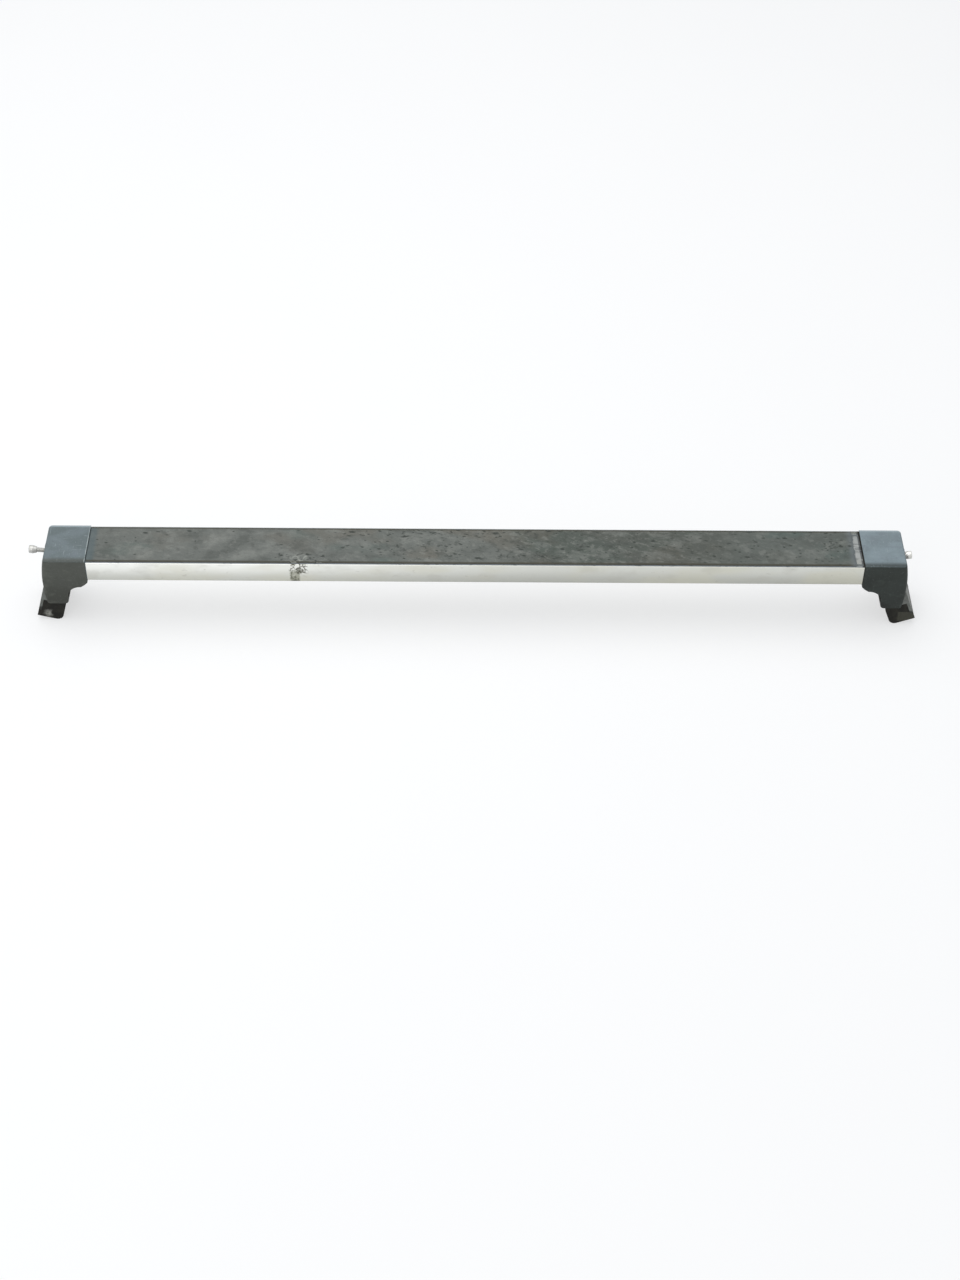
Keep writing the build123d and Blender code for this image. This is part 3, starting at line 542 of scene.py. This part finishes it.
# The brackets and clamp arms: pressure die castings of aluminium alloy, left as cast and dull.
# A bracket's spigot slides into the bar, and an arm swings between its cheeks on the pivot pin.
def dull_casting():
    """Grey metal with pores, near black along the arm's lower edge."""
    finish = Finish("dull_casting", Metallic=0.55, Specular_IOR_Level=0.5)
    skin = finish.grain(0.0012, 4, rough=0.65)
    cloud = finish.grain(0.012, 3, rough=0.6)
    pore = finish.grain(0.0009, 2, shift=(3, 3, 3)).rise(0.68, 0.76)
    base = finish.mix(cloud.rise(0.3, 0.7), tone(126, 129, 126), tone(102, 105, 101))
    base = finish.mix(skin.rise(0.5, 0.75) * 0.4, base, tone(150, 152, 147))
    base = finish.mix(cloud.rise(0.60, 0.78) * 0.5, base, tone(84, 80, 70))
    base = finish.mix(finish.z.rise(-0.085, -0.060) * 0.35, base, tone(84, 85, 80))
    # near black below a wavy line along the arm's lower edge
    black_lower_edge = (finish.z + (cloud - 0.5) * 0.006).rise(-0.0760, -0.0800)
    base = finish.mix(black_lower_edge * 0.85, base, tone(34, 34, 30))
    base = finish.mix(pore * 0.7, base, tone(52, 52, 48))
    rough = 0.50 + cloud * 0.2
    fine = finish.bump(skin, 0.00012)
    normal = finish.bump(1 - pore, 0.00015, fine)
    return finish.wear(Base_Color=base, Roughness=rough, Normal=normal)


casting = dull_casting()
for side in ("left", "right"):
    for piece in ("foot_bracket", "clamp_arm"):
        dress(f"{side}_{piece}", casting)
        soften(f"{side}_{piece}", 0.0005)


# The rubber against the rail: a saddle pad in each foot's hollow and a pad round each arm's toe.
# Both are moulded black rubber with fine ribs, and the toes' outer ends carry painted light.
# The gasket between bar and foot is die-cut from the same rubber.
def ribbed_rubber():
    """Near black, with painted light on the toes' outer ends and on the left gasket's top."""
    finish = Finish("black_rubber", Specular_IOR_Level=0.25)
    dust = finish.grain(0.005, 3, rough=0.6)
    crumb = finish.grain(0.0010, 3, rough=0.7)
    level = finish.z * 0.95 - abs(finish.x) * 0.31
    lines = finish.node("ShaderNodeMath", {"operation": "SINE"}, {0: level * 3600}) * 0.5 + 0.5
    ribs = finish.node("ShaderNodeMath", {"operation": "SINE"}, {0: finish.y * 2100}) * 0.5 + 0.5
    front = finish.facing("Y").rise(-0.5, -0.9)
    # painted light on the right toe's outer front end, streaked along its ribs
    painted_toe_light = finish.x.rise(0.5370, 0.5400) * finish.z.hump(-0.0883, 0.0072, 0.0012)
    patch_noise = finish.grain(0.0034, 3, shift=(2, 2, 6), rough=0.6)
    across, down = finish.x + (patch_noise - 0.5) * 0.012, finish.z + (dust - 0.5) * 0.010
    # a painted highlight in a ragged patch on the left toe's outer front end
    painted_left_toe_light = across.hump(-0.5420, 0.0010, 0.0060) * down.hump(-0.0905, 0.0010, 0.0062)
    # the left gasket's top is lightened: painted light in the shaded slot between bar and foot
    joint = abs(finish.x).rise(0.4870, 0.4865)
    base = finish.mix(dust.rise(0.38, 0.66), tone(21, 21, 17), tone(39, 38, 32))
    base = finish.mix(crumb.rise(0.55, 0.75) * 0.25, base, tone(70, 69, 60))
    # the painted light on the right toe
    base = finish.mix(front * painted_toe_light * (0.25 + lines * 0.45), base, tone(88, 87, 75))
    # the painted highlight on the left toe
    base = finish.mix(front * painted_left_toe_light * patch_noise.rise(0.22, 0.50), base, tone(146, 145, 137))
    # the painted light on the left gasket
    base = finish.mix(joint * finish.x.rise(0.1, -0.1) * 0.8, base, tone(96, 106, 109))
    rough = 0.66 + dust * 0.2
    fine = finish.bump(crumb, 0.00015)
    across = finish.bump(ribs, 0.00018, fine)
    normal = finish.bump(front * lines, 0.00015, across)
    return finish.wear(Base_Color=base, Roughness=rough, Normal=normal)


rubber = ribbed_rubber()
for side in ("left", "right"):
    for piece in ("saddle_pad", "hook_pad", "end_gasket"):
        dress(f"{side}_{piece}", rubber)
    soften(f"{side}_saddle_pad", 0.0006)
    soften(f"{side}_hook_pad", 0.0012)


# The clamp screws: M6 socket-head screws of zinc-plated steel, threaded to the head.
# Each runs from its conical collar at the foot's end into the barrel nut in the arm's fork.
# The thread is a ridge wound on a core, and the head has a hexagon socket and a rounded edge.
thread_pitch = 0.001
thread_crest = 0.00300
thread_root = 0.00247
head_radius = 0.0050
head_height = 0.00515
key_width = 0.0050
key_depth = 0.0030


def ring(points, faces, before, place, steps):
    """Adds one ring of points about the x axis and joins it to the ring before it."""
    first = len(points)
    x, radius = place
    for k in range(steps):
        angle = 2 * pi * k / steps
        points.append((x, radius * cos(angle), radius * sin(angle)))
    if before is not None:
        for k in range(steps):
            after = (k + 1) % steps
            faces.append((before + k, before + after, first + after, first + k))
    return first


def make_clamp_screw(side):
    """The core and head in one closed turned shape, and the thread as a ridge wound on it."""
    joint = next(joint for joint in frame["joints"] if joint["name"] == f"{side}_screw_turn")
    seat = Vector(joint["pos_m"])
    outward = -Vector(joint["axis"]).normalized()
    plain_screw = nodes[f"{side}_clamp_screw"].data
    reach = [(vertex.co - seat).dot(outward) for vertex in plain_screw.vertices]
    tip, top = min(reach), max(reach)
    neck = top - head_height
    points, faces = [], []
    steps = 48
    before = None
    edge = 0.0013
    under_edge = 0.0002
    tip_radius = 0.0016
    tip_length = 0.0008
    profile = [(tip, tip_radius), (tip + tip_length, thread_root), (neck, thread_root)]
    profile += [(neck, head_radius - under_edge), (neck + under_edge, head_radius)]
    profile += [(top - edge, head_radius)]
    for step in range(1, 5):
        angle = step * pi / 8
        profile.append((top - edge + edge * sin(angle), head_radius - edge + edge * cos(angle)))
    start = len(points)
    for place in profile:
        before = ring(points, faces, before, place, steps)
    faces.append(tuple(range(start + steps - 1, start - 1, -1)))
    flat = key_width / 2
    lead_in = 0.0003
    for x, grow in ((top, lead_in), (top - lead_in, 0), (top - key_depth, 0)):
        after = len(points)
        for k in range(steps):
            angle = 2 * pi * k / steps
            radius = (flat + grow) / cos((angle + pi / 6) % (pi / 3) - pi / 6)
            points.append((x, radius * cos(angle), radius * sin(angle)))
        for k in range(steps):
            turn = (k + 1) % steps
            faces.append((before + k, before + turn, after + turn, after + k))
        before = after
    faces.append(tuple(range(before, before + steps)))

    plain_length = 0.0016
    turns = int((neck - tip - plain_length) / thread_pitch)
    thread_start = 0.0009
    divisions = 24
    base, flank = 0.0004, 0.00007
    sunk = thread_root - 0.0001
    first = len(points)
    for step in range(turns * divisions + 1):
        angle = 2 * pi * step / divisions
        x = tip + thread_start + thread_pitch * step / divisions
        fade = min(1, step / divisions, (turns * divisions - step) / divisions)
        crest = thread_root + (thread_crest - thread_root) * max(fade, 0.05)
        for along, radius in ((-base, sunk), (-flank, crest), (flank, crest), (base, sunk)):
            points.append((x + along, radius * cos(angle), radius * sin(angle)))
        if step:
            for k in range(4):
                new, old = first + 4 * step, first + 4 * (step - 1)
                turn = (k + 1) % 4
                faces.append((old + k, old + turn, new + turn, new + k))
    faces.append((first + 3, first + 2, first + 1, first))
    last = first + 4 * turns * divisions
    faces.append((last, last + 1, last + 2, last + 3))

    mesh = bpy.data.meshes.new(f"{side}_threaded_screw")
    mesh.from_pydata(points, [], faces)
    frame_turn = outward.to_track_quat("X", "Z").to_matrix().to_4x4()
    mesh.transform(Matrix.Translation(seat) @ frame_turn)
    for face in mesh.polygons:
        face.use_smooth = len(face.vertices) == 4
    mesh.set_sharp_from_angle(angle=radians(32))
    screw = bpy.data.objects.new(f"{side}_threaded_screw", mesh)
    bpy.context.collection.objects.link(screw)
    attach(screw, f"{side}_screw")
    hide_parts(f"{side}_clamp_screw")
    return screw


def zinc_plate():
    """Plated steel with dull spots, a little brighter at the right foot."""
    finish = Finish("zinc_plate", Metallic=0.9, Specular_IOR_Level=0.5)
    cloud = finish.grain(0.004, 3, rough=0.6)
    bloom = finish.grain(0.0012, 3, rough=0.7)
    right = finish.x.rise(-0.1, 0.1)
    base = finish.mix(right, tone(192, 192, 189), tone(226, 226, 223))
    dull = finish.mix(right, tone(168, 168, 164), tone(204, 204, 199))
    base = finish.mix(cloud.rise(0.35, 0.7), base, dull)
    base = finish.mix(bloom.rise(0.58, 0.72) * 0.3, base, tone(226, 226, 225))
    base = finish.mix(bloom.rise(0.40, 0.28) * 0.3, base, tone(150, 142, 126))
    rough = 0.34 + bloom * 0.22
    return finish.wear(Base_Color=base, Roughness=rough, Normal=finish.bump(bloom, 0.00004))


zinc = zinc_plate()
for side in ("left", "right"):
    make_clamp_screw(side).data.materials.append(zinc)


# The small hardware: pivot pins with a head, spring clips on their tails, barrel nuts, collars,
# the screws that hold each spigot in the bar, and the tapping screws that hold the housing.
def blued_spring():
    """Dark spring steel."""
    finish = Finish("blued_spring", Metallic=0.9)
    cloud = finish.grain(0.002, 3)
    base = finish.mix(cloud, tone(60, 62, 68), tone(92, 92, 92))
    return finish.wear(Base_Color=base, Roughness=0.35 + cloud * 0.2)


spring = blued_spring()
for side in ("left", "right"):
    for piece in ("pivot_pin", "barrel_nut", "screw_collar", "bar_screws", "housing_screws"):
        dress(f"{side}_{piece}", zinc)
    dress(f"{side}_pin_clip", spring)


# The camera stands where the photographer stood, and its lens is worked out for an image 960 by
# 1280 pixels.
# The floor is plain and pale, and two large soft lamps and the sky light the rack.
def brighten(tree, kind, shader, share):
    """Mixes plain white into what the camera, gloss and glass see, and leaves the light alone."""
    ray = tree.nodes.new("ShaderNodeLightPath")
    seen = ray.outputs["Is Camera Ray"]
    for name in ("Is Glossy Ray", "Is Transmission Ray"):
        either = tree.nodes.new("ShaderNodeMath")
        either.operation = "MAXIMUM"
        tree.links.new(seen, either.inputs[0])
        tree.links.new(ray.outputs[name], either.inputs[1])
        seen = either.outputs[0]
    part = tree.nodes.new("ShaderNodeMath")
    part.operation = "MULTIPLY"
    part.inputs[1].default_value = share
    tree.links.new(seen, part.inputs[0])
    white = tree.nodes.new(kind)
    white.inputs["Color"].default_value = (1, 1, 1, 1)
    white.inputs["Strength"].default_value = 1
    blend = tree.nodes.new("ShaderNodeMixShader")
    tree.links.new(part.outputs[0], blend.inputs["Fac"])
    tree.links.new(shader.outputs[0], blend.inputs[1])
    tree.links.new(white.outputs[0], blend.inputs[2])
    output = next(node for node in tree.nodes if node.bl_idname.startswith("ShaderNodeOutput"))
    tree.links.new(blend.outputs[0], output.inputs["Surface"])


def set_stage():
    """The camera, the floor, the two lamps and the sky."""
    camera_data = bpy.data.cameras.new("camera")
    camera = bpy.data.objects.new("camera", camera_data)
    bpy.context.collection.objects.link(camera)
    focal_pixels, image_height = 2239, 1280
    camera_data.lens = focal_pixels * camera_data.sensor_width / image_height
    camera_data.clip_end = 50
    yaw, pitch, roll = radians(0.66), radians(43.94), radians(0.79)
    turn = Matrix.Rotation(-yaw, 4, "Z") @ Matrix.Rotation(pi / 2 - pitch, 4, "X")
    turn = turn @ Matrix.Rotation(roll, 4, "Z")
    stand = (-0.017, -2.105, 1.865)
    camera.matrix_world = Matrix.Translation(stand) @ turn
    bpy.context.scene.camera = camera

    floor_z = cad_box[0][2]
    mesh = bpy.data.meshes.new("floor")
    reach = 30
    corners = [(x * reach, y * reach, floor_z) for x, y in ((-1, -1), (1, -1), (1, 1), (-1, 1))]
    mesh.from_pydata(corners, [], [(0, 1, 2, 3)])
    floor = bpy.data.objects.new("floor", mesh)
    bpy.context.collection.objects.link(floor)
    paper = Finish("pale_floor", Roughness=0.9, Specular_IOR_Level=0.2)
    fibre = paper.grain(0.2, 2)
    pale = paper.mix(fibre, tone(246, 246, 246), tone(250, 250, 250))
    mesh.materials.append(paper.wear(Base_Color=pale))
    brighten(paper.tree, "ShaderNodeEmission", paper.shader, 0.6)

    for name, place, aim, size, power in (
        ("lamp_over", (-0.6, 0.4, 2.6), (0, 0, 0), 3.2, 60),
        ("lamp_front", (-1.2, -2.6, 1.8), (0, 0, -0.05), 2.0, 16),
    ):
        light = bpy.data.lights.new(name, "AREA")
        light.size = size
        light.energy = power
        lamp = bpy.data.objects.new(name, light)
        bpy.context.collection.objects.link(lamp)
        lamp.location = place
        lamp.rotation_euler = (Vector(aim) - Vector(place)).to_track_quat("-Z", "Y").to_euler()

    world = bpy.data.worlds.new("sky")
    bpy.context.scene.world = world
    world.use_nodes = True
    sky = world.node_tree.nodes["Background"]
    sky.inputs["Color"].default_value = tone(232, 238, 245)
    sky.inputs["Strength"].default_value = 0.55
    brighten(world.node_tree, "ShaderNodeBackground", sky, 1)
    bpy.context.scene.view_settings.view_transform = "Standard"


set_stage()
